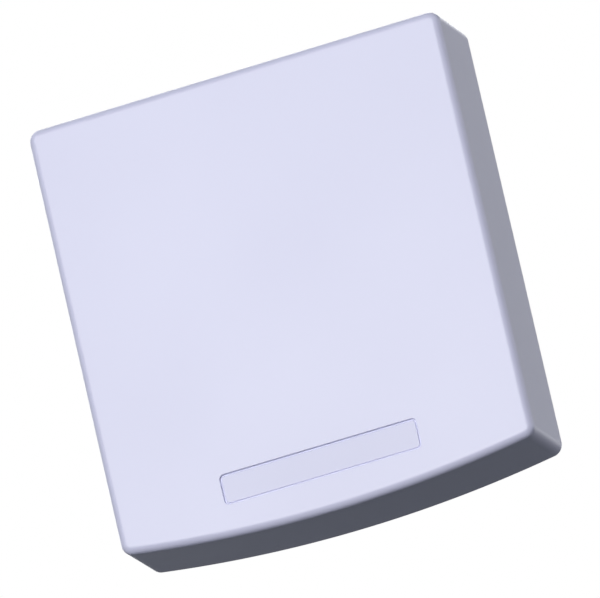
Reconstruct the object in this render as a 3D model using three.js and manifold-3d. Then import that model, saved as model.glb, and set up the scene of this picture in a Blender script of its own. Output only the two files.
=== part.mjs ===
// A flat panel directional antenna on a tilting mast clamp, in millimetres, +Z up, front facing -Y.
// The origin is on the mast's axis, at mid height of the panel. The mast is not part of the model.
import * as THREE from 'three';
import { mergeVertices } from 'three/addons/utils/BufferGeometryUtils.js';
import Module from 'manifold-3d';

const wasm = await Module();
wasm.setup();

// ---- Driving dimensions ----

// Gap left between pieces that touch or thread into each other.
const fitGap = 0.3;

// Radome: a square box, open at the back, whose bottom side is bowed outwards.
const panelWidth = 170;
const panelHeight = 180;
const panelDepth = 40;
const bottomBow = 6.75;
const cornerRadius = 4.7;
const frontFillet = 3;
const frontWall = 3;
const sideWall = 4;
const rimWall = 2;
const innerCorner = 1;
const badgeWidth = 81;
const badgeHeight = 12.2;
const badgeCorner = 2;
const badgeSink = 0.5;
const badgeMiddle = 20;

// Back plate, which is also the reflector, and its gasket and screws.
const plateThickness = 2.5;
const plateRecess = 2;
const gasketThickness = 1.6;
const gasketWidth = 3.6;
const bossInset = 10.5;
const bossRadius = 5;
const pedestalRadius = 4;
const coverScrewRadius = 1.75;
const coverScrewLength = 14;
const coverHeadRadius = 3.5;
const coverHeadHeight = 2.4;

// Radiators: four driven patches joined by one feed strip, and a director in front of each.
const patchPitch = 76;
const drivenSide = 52;
const directorSide = 46;
const sheetThickness = 0.8;
const postHeight = 6;
const postRadius = 3;
const spacerHeight = 12;
const spacerRadius = 3.5;
const patchScrewRadius = 1.5;
const patchHeadRadius = 2.75;
const patchHeadHeight = 2;
const feedWidth = 3;
const feedPadRadius = 3.5;

// Type N jack through the back plate, below the bracket.
const connectorDrop = 58;
const threadRadius = 7.95;
const threadLength = 11;
const flangeFlats = 19;
const flangeThickness = 4;
const neckRadius = 7;
const jackBore = 4.2;
const jackNutFlats = 17;
const jackNutThickness = 3;
const sealThickness = 1.5;
const sealWidth = 2;
const insulatorLength = 14;
const pinRadius = 1.5;
const pinRecess = 2.6;
const socketRadius = 0.85;
const socketDepth = 5;

// Vent plug in the back plate.
const ventX = 46;
const ventDrop = 66;
const ventCapRadius = 5;
const ventCapHeight = 2.5;
const ventNeckRadius = 3;

// Bracket metal, M6 studs and M8 bolts.
const bracketSheet = 3;
const bendRadius = 2;
const studRadius = 3;
const studHeadRadius = 4.5;
const studHeadHeight = 1.4;
const studX = 23;
const studZ = 19;
const studTail = 3;
const studNutFlats = 10;
const studNutHeight = 5;
const boltRadius = 4;
const boltFlats = 13;
const boltHeadHeight = 5.3;
const nutHeight = 6.5;
const boltTail = 3;
const washerRadius = 8;
const washerThickness = 1.6;
const nutFlangeRadius = 8.5;
const nutFlangeHeight = 1.5;

// Tilting bracket.
const bracketHalfHeight = 26;
const baseHalfHeight = 28;
const pivotStandoff = 28;
const pivotPassing = 1;
const pivotDrop = 12;
const lockRise = 18;
const tiltRange = 25;
const slotAllowance = 1.5;
const pivotRim = 10;
const lockRim = 8.3;
const baseFlange = 6;

// Mast clamp: two V saddles on long bolts, drawn on a mast of middling size.
const mastRadius = 20;
const largestMastRadius = 25;
const boltPassing = 0.5;
const saddlePassing = 1.5;
const vHalfAngle = 60;
const saddleBack = 6;
const vHalfWidth = 18;
const toothDepth = 1;
const toothCount = 4;
const jawHalfHeight = 22;
const jawEndRadius = 8;
const jawEndMargin = 2.5;
const jawTravel = 12;

// Facets of round stretches.
const cornerSteps = 6;
const bowSteps = 20;
const filletSteps = 4;
const holeSides = 20;
const smallSides = 12;
const bendSteps = 4;

// ---- Places that follow from them ----

const radians = Math.PI / 180;
const plateOuter = panelDepth - plateRecess;
const plateInner = plateOuter - plateThickness;
const ledgeDepth = plateInner - gasketThickness - 2 * fitGap;
const drivenBack = plateInner - fitGap - postHeight - fitGap;
const drivenFront = drivenBack - sheetThickness;
const directorBack = drivenFront - fitGap - spacerHeight - fitGap;
const directorFront = directorBack - sheetThickness;
const patchCentre = patchPitch / 2;

const vVertex = mastRadius / Math.sin(vHalfAngle * radians);
const vDepth = vHalfWidth / Math.tan(vHalfAngle * radians);
const webBack = vVertex + saddleBack;
const webFront = webBack + bracketSheet;
const clampBoltX = largestMastRadius + boltPassing + boltRadius;
const saddleHalfWidth = clampBoltX - boltRadius - saddlePassing;
const jawHalfWidth = clampBoltX + washerRadius + jawEndMargin;
const headCorner = boltFlats / Math.sqrt(3);
const bracketHalfWidth = clampBoltX + headCorner + fitGap + bendRadius + bracketSheet;
const lockSweep = lockRise * Math.sin(tiltRange * radians) + lockRim;
const pivotY = -webFront - fitGap - boltHeadHeight - pivotPassing - lockSweep;
const lockZ = lockRise - pivotDrop;
const pivotDepth = panelDepth + pivotStandoff;
const innerHalfWidth = bracketHalfWidth - bracketSheet - fitGap;
const baseDepth = plateOuter + fitGap;
const boltHole = boltRadius + fitGap;

// ---- Solids and outlines ----

function solidOf(geometry) {
  const bare = geometry.clone();
  bare.deleteAttribute('normal');
  bare.deleteAttribute('uv');
  const merged = mergeVertices(bare, 1e-4);
  return new wasm.Manifold(new wasm.Mesh({
    numProp: 3,
    vertProperties: new Float32Array(merged.attributes.position.array),
    triVerts: new Uint32Array(merged.index.array),
  }));
}

function geometryOf(solid) {
  const mesh = solid.getMesh();
  const geometry = new THREE.BufferGeometry();
  geometry.setAttribute('position', new THREE.BufferAttribute(mesh.vertProperties, 3));
  geometry.setIndex(new THREE.BufferAttribute(mesh.triVerts, 1));
  geometry.computeVertexNormals();
  return geometry;
}

function arc(centreX, centreY, radius, from, to, steps) {
  const points = [];
  for (let i = 0; i <= steps; i += 1) {
    const angle = from + (to - from) * i / steps;
    const x = centreX + radius * Math.cos(angle);
    points.push(new THREE.Vector2(x, centreY + radius * Math.sin(angle)));
  }
  return points;
}

function circle(centreX, centreY, radius, sides = holeSides) {
  return arc(centreX, centreY, radius, 0, 2 * Math.PI, sides).slice(0, sides);
}

function rectangle(left, right, low, high) {
  return [[left, low], [right, low], [right, high], [left, high]].map(([x, y]) => new THREE.Vector2(x, y));
}

function roundedRectangle(halfWidth, halfHeight, radius, centreY = 0) {
  const x = halfWidth - radius;
  const y = halfHeight - radius;
  const quarter = Math.PI / 2;
  return [
    ...arc(x, centreY + y, radius, 0, quarter, cornerSteps),
    ...arc(-x, centreY + y, radius, quarter, 2 * quarter, cornerSteps),
    ...arc(-x, centreY - y, radius, 2 * quarter, 3 * quarter, cornerSteps),
    ...arc(x, centreY - y, radius, 3 * quarter, 4 * quarter, cornerSteps),
  ];
}

// The convex outline around a set of points.
function outlineAround(points) {
  const sorted = [...points].sort((a, b) => a.x - b.x || a.y - b.y);
  const half = (list) => {
    const chain = [];
    for (const point of list) {
      while (chain.length > 1) {
        const [a, b] = chain.slice(-2);
        if ((b.x - a.x) * (point.y - a.y) - (b.y - a.y) * (point.x - a.x) > 1e-9) break;
        chain.pop();
      }
      chain.push(point);
    }
    return chain.slice(0, -1);
  };
  return [...half(sorted), ...half(sorted.reverse())];
}

function prism(outline, height, holes = []) {
  const shape = new THREE.Shape(outline);
  shape.holes = holes.map((hole) => new THREE.Path(hole));
  return new THREE.ExtrudeGeometry(shape, { depth: height, bevelEnabled: false });
}

// An outline drawn in x and z, given thickness from one depth to another along +Y.
function slab(outline, near, far, holes = []) {
  return prism(outline, far - near, holes).rotateX(Math.PI / 2).translate(0, far, 0);
}

// An outline drawn in y and z, given thickness along +X.
function sideways(outline, left, right) {
  const turn = new THREE.Matrix4().makeBasis(
    new THREE.Vector3(0, 1, 0),
    new THREE.Vector3(0, 0, 1),
    new THREE.Vector3(1, 0, 0),
  );
  return prism(outline, right - left).applyMatrix4(turn).translate(left, 0, 0);
}

function rod(radius, from, to, sides = holeSides) {
  return prism(circle(0, 0, radius, sides), to - from).translate(0, 0, from);
}

function hexagon(flats, from, to) {
  return rod(flats / Math.sqrt(3), from, to, 6);
}

function tube(outer, inner, from, to, sides = holeSides) {
  return prism(circle(0, 0, outer, sides), to - from, [circle(0, 0, inner, sides)]).translate(0, 0, from);
}

// A U of sheet metal: the web lies on the first coordinate's axis and the legs point towards +.
function channel(halfWidth, legEnd) {
  const outer = bendRadius + bracketSheet;
  const x = halfWidth - outer;
  const inside = halfWidth - bracketSheet;
  const quarter = Math.PI / 2;
  return [
    new THREE.Vector2(-halfWidth, legEnd),
    ...arc(-x, outer, outer, 2 * quarter, 3 * quarter, bendSteps),
    ...arc(x, outer, outer, 3 * quarter, 4 * quarter, bendSteps),
    new THREE.Vector2(halfWidth, legEnd),
    new THREE.Vector2(inside, legEnd),
    ...arc(x, outer, bendRadius, 4 * quarter, 3 * quarter, bendSteps),
    ...arc(-x, outer, bendRadius, 3 * quarter, 2 * quarter, bendSteps),
    new THREE.Vector2(-inside, legEnd),
  ];
}

// ---- The panel's outline ----

// Three straight sides and a bowed bottom, moved inwards by inset.
function panelOutline(inset, radius) {
  const bowRadius = (panelWidth ** 2 / 4 + bottomBow ** 2) / (2 * bottomBow);
  const bowCentre = bowRadius - panelHeight / 2;
  const x = panelWidth / 2 - inset - radius;
  const high = panelHeight / 2 - inset - radius;
  const low = bowCentre - Math.sqrt((bowRadius - inset - radius) ** 2 - x ** 2);
  const lean = Math.atan2(x, bowCentre - low);
  const quarter = Math.PI / 2;
  return [
    ...arc(x, high, radius, 0, quarter, cornerSteps),
    ...arc(-x, high, radius, quarter, 2 * quarter, cornerSteps),
    ...arc(-x, low, radius, 2 * quarter, 3 * quarter - lean, cornerSteps),
    ...arc(0, bowCentre, bowRadius - inset, 3 * quarter - lean, 3 * quarter + lean, bowSteps).slice(1, -1),
    ...arc(x, low, radius, 3 * quarter + lean, 4 * quarter, cornerSteps),
  ];
}

// How far below the middle the outline's bottom lies at a given x, for an inset.
function bottomAt(x, inset) {
  const bowRadius = (panelWidth ** 2 / 4 + bottomBow ** 2) / (2 * bottomBow);
  return bowRadius - panelHeight / 2 - Math.sqrt((bowRadius - inset) ** 2 - x ** 2);
}

// A closed skin through rings with equal numbers of points, flat at both ends.
function loft(rings) {
  const count = rings[0].length;
  const positions = rings.flat().flatMap((point) => [point.x, point.y, point.z]);
  const index = [];
  for (let ring = 0; ring + 1 < rings.length; ring += 1) {
    for (let i = 0; i < count; i += 1) {
      const a = ring * count + i;
      const b = ring * count + (i + 1) % count;
      index.push(a, b, a + count, b, b + count, a + count);
    }
  }
  const faces = THREE.ShapeUtils.triangulateShape(rings[0].map((p) => new THREE.Vector2(p.x, p.z)), []);
  const last = (rings.length - 1) * count;
  for (const [a, b, c] of faces) {
    index.push(a, c, b, last + a, last + b, last + c);
  }
  const geometry = new THREE.BufferGeometry();
  geometry.setAttribute('position', new THREE.Float32BufferAttribute(positions, 3));
  geometry.setIndex(index);
  return geometry;
}

// ---- Screw and stud places on the panel, as x, z and the way to the nearest wall ----

const screwX = panelWidth / 2 - bossInset;
const screwTop = panelHeight / 2 - bossInset;
const screwPlaces = [
  [-screwX, screwTop, -1, 1],
  [0, screwTop, 0, 1],
  [screwX, screwTop, 1, 1],
  [-screwX, 0, -1, 0],
  [screwX, 0, 1, 0],
  [-screwX, bottomAt(screwX, bossInset), -1, -1],
  [0, bottomAt(0, bossInset), 0, -1],
  [screwX, bottomAt(screwX, bossInset), 1, -1],
];
const corners = [[-1, 1], [1, 1], [-1, -1], [1, -1]];
const studPlaces = corners.map(([x, z]) => [x * studX, z * studZ]);
const patchPlaces = corners.map(([x, z]) => [x * patchCentre, z * patchCentre]);

// ---- Radome ----

function bosses() {
  let whole = null;
  for (const [x, z, outX, outZ] of screwPlaces) {
    const reach = bossInset;
    const blocks = [slab(circle(x, z, bossRadius), frontWall, ledgeDepth)];
    if (outX) {
      const sides = [x, x + outX * reach].sort((a, b) => a - b);
      blocks.push(slab(rectangle(sides[0], sides[1], z - bossRadius, z + bossRadius), frontWall, ledgeDepth));
    }
    if (outZ) {
      const ends = [z, z + outZ * reach].sort((a, b) => a - b);
      blocks.push(slab(rectangle(x - bossRadius, x + bossRadius, ends[0], ends[1]), frontWall, ledgeDepth));
    }
    for (const block of blocks) {
      whole = whole ? whole.add(solidOf(block)) : solidOf(block);
    }
  }
  return whole;
}

function radomeGeometry() {
  const ring = (depth, inset) => panelOutline(inset, cornerRadius - inset)
    .map((point) => new THREE.Vector3(point.x, depth, point.y));
  const rings = [ring(panelDepth, 0)];
  for (let i = 0; i <= filletSteps; i += 1) {
    const angle = i / filletSteps * Math.PI / 2;
    rings.push(ring(frontFillet * (1 - Math.sin(angle)), frontFillet * (1 - Math.cos(angle))));
  }
  let shell = solidOf(loft(rings));
  const hollow = solidOf(slab(panelOutline(sideWall, innerCorner), frontWall, ledgeDepth));
  let rebate = solidOf(slab(panelOutline(rimWall, cornerRadius - rimWall), ledgeDepth, panelDepth + 1));
  const pedestalTop = plateInner - fitGap;
  for (const [x, z] of screwPlaces) {
    rebate = rebate.subtract(solidOf(slab(circle(x, z, pedestalRadius), ledgeDepth - 1, pedestalTop)));
  }
  shell = shell.subtract(hollow.subtract(bosses())).subtract(rebate);
  const pilotEnd = plateOuter - coverScrewLength - fitGap;
  for (const [x, z] of screwPlaces) {
    const pilot = circle(x, z, coverScrewRadius + fitGap, smallSides);
    shell = shell.subtract(solidOf(slab(pilot, pilotEnd, panelDepth)));
  }
  const badgeZ = badgeMiddle - panelHeight / 2;
  const badge = roundedRectangle(badgeWidth / 2, badgeHeight / 2, badgeCorner, badgeZ);
  return geometryOf(shell.subtract(solidOf(slab(badge, -1, badgeSink))));
}

// ---- Back plate, gasket and cover screws ----

function backPlateGeometry() {
  const holes = [
    ...screwPlaces.map(([x, z]) => circle(x, z, coverScrewRadius + fitGap, smallSides)),
    ...studPlaces.map(([x, z]) => circle(x, z, studRadius + fitGap)),
    circle(0, -connectorDrop, neckRadius + fitGap, holeSides),
    circle(ventX, -ventDrop, ventNeckRadius + fitGap, smallSides),
  ];
  const edge = rimWall + fitGap;
  return slab(panelOutline(edge, cornerRadius - edge), plateInner, plateOuter, holes);
}

function gasketGeometry() {
  const edge = rimWall + fitGap;
  const inner = edge + gasketWidth;
  const far = plateInner - fitGap;
  return slab(
    panelOutline(edge, cornerRadius - edge),
    far - gasketThickness,
    far,
    [panelOutline(inner, innerCorner)],
  );
}

// Pan head screw: the underside of the head at z = 0, shank towards -Z.
function panScrewGeometry(shank, length, head, height) {
  const profile = [
    [0, -length], [shank, -length], [shank, 0],
    [head, 0], [head, height * 0.5], [head * 0.7, height], [0, height],
  ].map(([x, y]) => new THREE.Vector2(x, y));
  return new THREE.LatheGeometry(profile, smallSides).rotateX(Math.PI / 2);
}

// ---- Radiators ----

function drivenGeometry() {
  const half = drivenSide / 2;
  const strip = feedWidth / 2;
  const outlines = [
    rectangle(-patchCentre - strip, patchCentre + strip, -strip, strip),
    rectangle(-patchCentre - strip, -patchCentre + strip, -patchCentre, patchCentre),
    rectangle(patchCentre - strip, patchCentre + strip, -patchCentre, patchCentre),
    rectangle(-strip, strip, -connectorDrop, 0),
    circle(0, -connectorDrop, feedPadRadius, smallSides),
    ...patchPlaces.map(([x, z]) => rectangle(x - half, x + half, z - half, z + half)),
  ];
  let sheet = null;
  for (const outline of outlines) {
    const piece = solidOf(slab(outline, drivenFront, drivenBack));
    sheet = sheet ? sheet.add(piece) : piece;
  }
  for (const [x, z] of patchPlaces) {
    const hole = circle(x, z, patchScrewRadius + fitGap, smallSides);
    sheet = sheet.subtract(solidOf(slab(hole, drivenFront - 1, drivenBack + 1)));
  }
  return geometryOf(sheet);
}

function directorGeometry() {
  const half = directorSide / 2;
  const hole = circle(0, 0, patchScrewRadius + fitGap, smallSides);
  return prism(rectangle(-half, half, -half, half), sheetThickness, [hole]);
}

// ---- Type N jack, drawn along +Z from the plate's outer face ----

function jackBodyGeometry() {
  const flangeStart = sealThickness + 2 * fitGap;
  const flangeEnd = flangeStart + flangeThickness;
  const neckStart = -plateThickness - 2 * fitGap - jackNutThickness;
  return geometryOf(solidOf(hexagon(flangeFlats, flangeStart, flangeEnd))
    .add(solidOf(rod(threadRadius, flangeEnd - 1, flangeEnd + threadLength)))
    .add(solidOf(rod(neckRadius, neckStart, flangeStart + 1)))
    .subtract(solidOf(rod(jackBore, neckStart - 1, flangeEnd + threadLength + 1))));
}

function jackNutGeometry() {
  return geometryOf(solidOf(hexagon(jackNutFlats, 0, jackNutThickness))
    .subtract(solidOf(rod(neckRadius + fitGap, -1, jackNutThickness + 1))));
}

function jackPinGeometry(length) {
  const profile = [
    [0, 0], [pinRadius, 0], [pinRadius, length], [socketRadius, length],
    [socketRadius, length - socketDepth], [0, length - socketDepth],
  ].map(([x, y]) => new THREE.Vector2(x, y));
  return new THREE.LatheGeometry(profile, smallSides).rotateX(Math.PI / 2);
}

function ventGeometry() {
  const inside = -plateThickness - 2;
  return geometryOf(solidOf(rod(ventNeckRadius, inside, fitGap + 1, smallSides))
    .add(solidOf(rod(ventCapRadius, fitGap, fitGap + ventCapHeight))));
}

// ---- Studs, bolts and nuts, drawn along +Z ----

function studGeometry() {
  const tail = plateThickness + fitGap + bracketSheet + fitGap + studNutHeight + studTail;
  return geometryOf(solidOf(rod(studHeadRadius, -studHeadHeight, 0))
    .add(solidOf(rod(studRadius, -studHeadHeight / 2, tail + fitGap, smallSides))));
}

function boltGeometry(length) {
  return geometryOf(solidOf(hexagon(boltFlats, -boltHeadHeight, 0))
    .add(solidOf(rod(boltRadius, -1, length))));
}

function nutGeometry(flats, radius, height) {
  return geometryOf(solidOf(hexagon(flats, 0, height))
    .subtract(solidOf(rod(radius + fitGap, -1, height + 1))));
}

function flangeNutGeometry() {
  return geometryOf(solidOf(hexagon(boltFlats, 0, nutHeight))
    .add(solidOf(rod(nutFlangeRadius, 0, nutFlangeHeight)))
    .subtract(solidOf(rod(boltHole, -1, nutHeight + 1))));
}

// ---- Bracket on the panel, in panel coordinates ----

function panelBracketGeometry() {
  const legs = prism(channel(innerHalfWidth, pivotDepth - baseDepth + pivotRim), 2 * baseHalfHeight)
    .translate(0, baseDepth, -baseHalfHeight);
  const ear = outlineAround([
    ...circle(pivotDepth, -pivotDrop, pivotRim, 2 * holeSides),
    ...circle(pivotDepth, lockZ, lockRim, 2 * holeSides),
    ...rectangle(baseDepth - 1, baseDepth + baseFlange, -baseHalfHeight, baseHalfHeight),
  ]);
  const reach = innerHalfWidth + 1;
  let bracket = solidOf(legs).intersect(solidOf(sideways(ear, -reach, reach)));
  for (const z of [-pivotDrop, lockZ]) {
    bracket = bracket.subtract(solidOf(sideways(circle(pivotDepth, z, boltHole), -reach, reach)));
  }
  for (const [x, z] of studPlaces) {
    const hole = circle(x, z, studRadius + fitGap, smallSides);
    bracket = bracket.subtract(solidOf(slab(hole, baseDepth - 1, baseDepth + bracketSheet + 1)));
  }
  return geometryOf(bracket);
}

// ---- Mast clamp ----

// The V cut with its teeth, in x and y, opening towards +Y from a vertex behind the mast.
function toothedV() {
  const sideX = Math.sin(vHalfAngle * radians);
  const sideY = Math.cos(vHalfAngle * radians);
  const length = vHalfWidth / sideX;
  const right = [];
  for (let i = 0; i < toothCount; i += 1) {
    const valley = (i + 0.5) / toothCount * length;
    const tip = (i + 1) / toothCount * length;
    right.push([valley * sideX + toothDepth * sideY, valley * sideY - toothDepth * sideX]);
    right.push([tip * sideX, tip * sideY]);
  }
  right.push([vHalfWidth, vDepth + 1]);
  const left = right.map(([x, y]) => [-x, y]).reverse();
  return [...left, [0, 0], ...right].map(([x, y]) => new THREE.Vector2(x, y - vVertex));
}

// A saddle: web and two lips towards the mast, each lip cut to the toothed V.
function saddle(halfHeight) {
  const lips = sideways(
    channel(halfHeight, webFront - vVertex + vDepth).map((p) => new THREE.Vector2(p.y - webFront, p.x)).reverse(),
    -saddleHalfWidth,
    saddleHalfWidth,
  );
  const cut = prism(toothedV(), 2 * halfHeight + 2).translate(0, 0, -halfHeight - 1);
  return solidOf(lips).subtract(solidOf(cut));
}

function boltHoles(solid) {
  let drilled = solid;
  for (const x of [-clampBoltX, clampBoltX]) {
    drilled = drilled.subtract(solidOf(slab(circle(x, 0, boltHole), -webFront - 1, -webBack + 1)));
  }
  return drilled;
}

function mastBracketGeometry() {
  const slotEnds = [-1, 0, 1].map((side) => (90 + side * (tiltRange + slotAllowance)) * radians);
  const place = (angle) => [
    pivotY + lockRise * Math.cos(angle),
    -pivotDrop + lockRise * Math.sin(angle),
  ];
  const ear = outlineAround([
    ...slotEnds.flatMap((angle) => circle(...place(angle), lockRim, 2 * holeSides)),
    ...circle(pivotY, -pivotDrop, pivotRim, 2 * holeSides),
    ...rectangle(-webFront - 2, -webBack, -bracketHalfHeight, bracketHalfHeight),
  ]);
  const earTip = Math.min(...ear.map((point) => point.x)) - 1;
  const legs = prism(channel(bracketHalfWidth, -earTip - webBack), 2 * bracketHalfHeight)
    .rotateZ(Math.PI).translate(0, -webBack, -bracketHalfHeight);
  const reach = bracketHalfWidth + 1;
  const [start, , end] = slotEnds;
  const slot = [
    ...arc(pivotY, -pivotDrop, lockRise + boltHole, start, end, cornerSteps),
    ...arc(...place(end), boltHole, end, end + Math.PI, cornerSteps).slice(1, -1),
    ...arc(pivotY, -pivotDrop, lockRise - boltHole, end, start, cornerSteps),
    ...arc(...place(start), boltHole, start - Math.PI, start, cornerSteps).slice(1, -1),
  ];
  const pivotHole = circle(pivotY, -pivotDrop, boltHole);
  return geometryOf(boltHoles(solidOf(legs)
    .intersect(solidOf(sideways(ear, -reach, reach)))
    .subtract(solidOf(sideways(slot, -reach, reach)))
    .subtract(solidOf(sideways(pivotHole, -reach, reach)))
    .add(saddle(bracketHalfHeight))));
}

function jawGeometry() {
  const plate = slab(roundedRectangle(jawHalfWidth, jawHalfHeight, jawEndRadius), -webFront, -webBack);
  return geometryOf(boltHoles(solidOf(plate).add(saddle(jawHalfHeight))).rotate([0, 0, 180]));
}

// ---- Materials ----

const finish = (color, roughness, metalness) => new THREE.MeshStandardMaterial({ color, roughness, metalness });
const radomePlastic = finish(0xdedff4, 0.5, 0);
const plateAluminium = finish(0xc4c7cc, 0.4, 0.9);
const gasketRubber = finish(0x1d1e20, 0.8, 0);
const stainless = finish(0xb9bcc0, 0.3, 1);
const tinnedBrass = finish(0xc9b98a, 0.35, 1);
const acetal = finish(0xf1f0ea, 0.5, 0);
const nickel = finish(0xd2d0c6, 0.25, 1);
const ptfe = finish(0xf7f7f5, 0.4, 0);
const goldPlate = finish(0xd9b45a, 0.25, 1);
const blackNylon = finish(0x232426, 0.6, 0);
const galvanised = finish(0xa9adb1, 0.45, 0.9);

// ---- Assembly ----

function add(parent, name, geometry, material, position = [0, 0, 0], rotation = [0, 0, 0]) {
  const mesh = new THREE.Mesh(geometry, material);
  mesh.name = name;
  mesh.position.set(...position);
  mesh.rotation.set(...rotation);
  parent.add(mesh);
}

const quarterTurn = Math.PI / 2;
const towardsBack = [-quarterTurn, 0, 0];
const towardsRight = [0, quarterTurn, 0];
const towardsLeft = [0, -quarterTurn, 0];

// Panel group: y is the depth behind the radome's front.
function panel() {
  const group = new THREE.Group();
  group.position.set(0, pivotY - pivotDepth, 0);
  add(group, 'radome', radomeGeometry(), radomePlastic);
  add(group, 'back_plate', backPlateGeometry(), plateAluminium);
  add(group, 'rim_gasket', gasketGeometry(), gasketRubber);

  const coverScrew = panScrewGeometry(coverScrewRadius, coverScrewLength, coverHeadRadius, coverHeadHeight);
  screwPlaces.forEach(([x, z], i) => {
    add(group, `cover_screw_${i + 1}`, coverScrew, stainless, [x, plateOuter + fitGap, z], towardsBack);
  });

  add(group, 'driven_plate', drivenGeometry(), tinnedBrass);
  const screwHole = patchScrewRadius + fitGap;
  const post = tube(postRadius, screwHole, 0, postHeight, smallSides);
  const spacer = tube(spacerRadius, screwHole, 0, spacerHeight, smallSides);
  const director = directorGeometry();

  const patchScrew = panScrewGeometry(
    patchScrewRadius,
    plateInner - 2 * fitGap - (directorFront - fitGap),
    patchHeadRadius,
    patchHeadHeight,
  );
  patchPlaces.forEach(([x, z], i) => {
    add(group, `patch_post_${i + 1}`, post, stainless, [x, drivenBack + fitGap, z], towardsBack);
    add(group, `director_spacer_${i + 1}`, spacer, acetal, [x, directorBack + fitGap, z], towardsBack);
    add(group, `director_${i + 1}`, director, plateAluminium, [x, directorFront, z], towardsBack);
    add(group, `director_screw_${i + 1}`, patchScrew, acetal, [x, directorFront - fitGap, z],
      [quarterTurn, 0, 0]);
  });

  const jack = [0, plateOuter, -connectorDrop];
  const nutStart = -plateThickness - fitGap - jackNutThickness;
  const insulatorStart = nutStart - fitGap;
  const pinStart = drivenBack + fitGap - plateOuter;
  const jackMouth = sealThickness + 2 * fitGap + flangeThickness + threadLength;
  const inner = neckRadius + fitGap;
  const at = (offset) => [jack[0], jack[1] + offset, jack[2]];
  add(group, 'connector_body', jackBodyGeometry(), nickel, jack, towardsBack);
  add(group, 'connector_nut', jackNutGeometry(), nickel, at(nutStart), towardsBack);
  add(group, 'connector_seal', tube(inner + sealWidth, inner, 0, sealThickness), gasketRubber,
    at(fitGap), towardsBack);
  add(group, 'connector_insulator', tube(jackBore - fitGap, pinRadius + fitGap, 0, insulatorLength), ptfe,
    at(insulatorStart), towardsBack);
  add(group, 'connector_pin', jackPinGeometry(jackMouth - pinRecess - pinStart), goldPlate,
    at(pinStart), towardsBack);
  add(group, 'vent_plug', ventGeometry(), blackNylon, [ventX, plateOuter, -ventDrop], towardsBack);

  const stud = studGeometry();
  const studNut = nutGeometry(studNutFlats, studRadius, studNutHeight);
  const nutDepth = baseDepth + bracketSheet + fitGap;
  studPlaces.forEach(([x, z], i) => {
    add(group, `bracket_stud_${i + 1}`, stud, stainless, [x, plateInner - fitGap, z], towardsBack);
    add(group, `stud_nut_${i + 1}`, studNut, stainless, [x, nutDepth, z], towardsBack);
  });
  add(group, 'panel_bracket', panelBracketGeometry(), galvanised);

  const headX = innerHalfWidth - bracketSheet - fitGap;
  const nutX = bracketHalfWidth + fitGap;
  const lockBolt = boltGeometry(nutX + nutHeight + boltTail - headX);
  const lockNut = flangeNutGeometry();
  for (const [side, way, turn] of [['left', -1, towardsLeft], ['right', 1, towardsRight]]) {
    add(group, `lock_bolt_${side}`, lockBolt, stainless, [way * headX, pivotDepth, lockZ], turn);
    add(group, `lock_nut_${side}`, lockNut, stainless, [way * nutX, pivotDepth, lockZ], turn);
  }
  return group;
}

function mastClamp() {
  const group = new THREE.Group();
  add(group, 'mast_bracket', mastBracketGeometry(), galvanised);
  const washer = tube(washerRadius, boltHole, 0, washerThickness);
  const nut = nutGeometry(boltFlats, boltRadius, nutHeight);
  const washerX = bracketHalfWidth + fitGap;
  const endX = washerX + washerThickness + fitGap;
  const pivot = [pivotY, -pivotDrop];
  add(group, 'pivot_bolt', boltGeometry(2 * endX + nutHeight + boltTail), stainless, [-endX, ...pivot],
    towardsRight);
  add(group, 'pivot_washer_left', washer, stainless, [-washerX, ...pivot], towardsLeft);
  add(group, 'pivot_washer_right', washer, stainless, [washerX, ...pivot], towardsRight);
  add(group, 'pivot_nut', nut, stainless, [endX, ...pivot], towardsRight);

  const jaw = new THREE.Group();
  add(jaw, 'clamp_jaw', jawGeometry(), galvanised);
  const jawWasherY = webFront + fitGap;
  const jawNutY = jawWasherY + washerThickness + fitGap;
  const clampBolt = boltGeometry(webFront + fitGap + jawNutY + nutHeight + jawTravel + boltTail);
  for (const [side, x] of [['left', -clampBoltX], ['right', clampBoltX]]) {
    add(group, `clamp_bolt_${side}`, clampBolt, stainless, [x, -webFront - fitGap, 0], towardsBack);
    add(jaw, `clamp_washer_${side}`, washer, stainless, [x, jawWasherY, 0], towardsBack);
    add(jaw, `clamp_nut_${side}`, nut, stainless, [x, jawNutY, 0], towardsBack);
  }
  group.add(jaw);
  return group;
}

const antenna = new THREE.Group();
antenna.add(panel());
antenna.add(mastClamp());

export default antenna;
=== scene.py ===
# A flat panel directional antenna on a tilting mast clamp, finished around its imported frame.
# Metres, +Z up, the panel facing -Y, the mast's axis on the origin.
import math

import bmesh
import bpy
from mathutils import Matrix, Vector
from mathutils.geometry import convex_hull_2d


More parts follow.
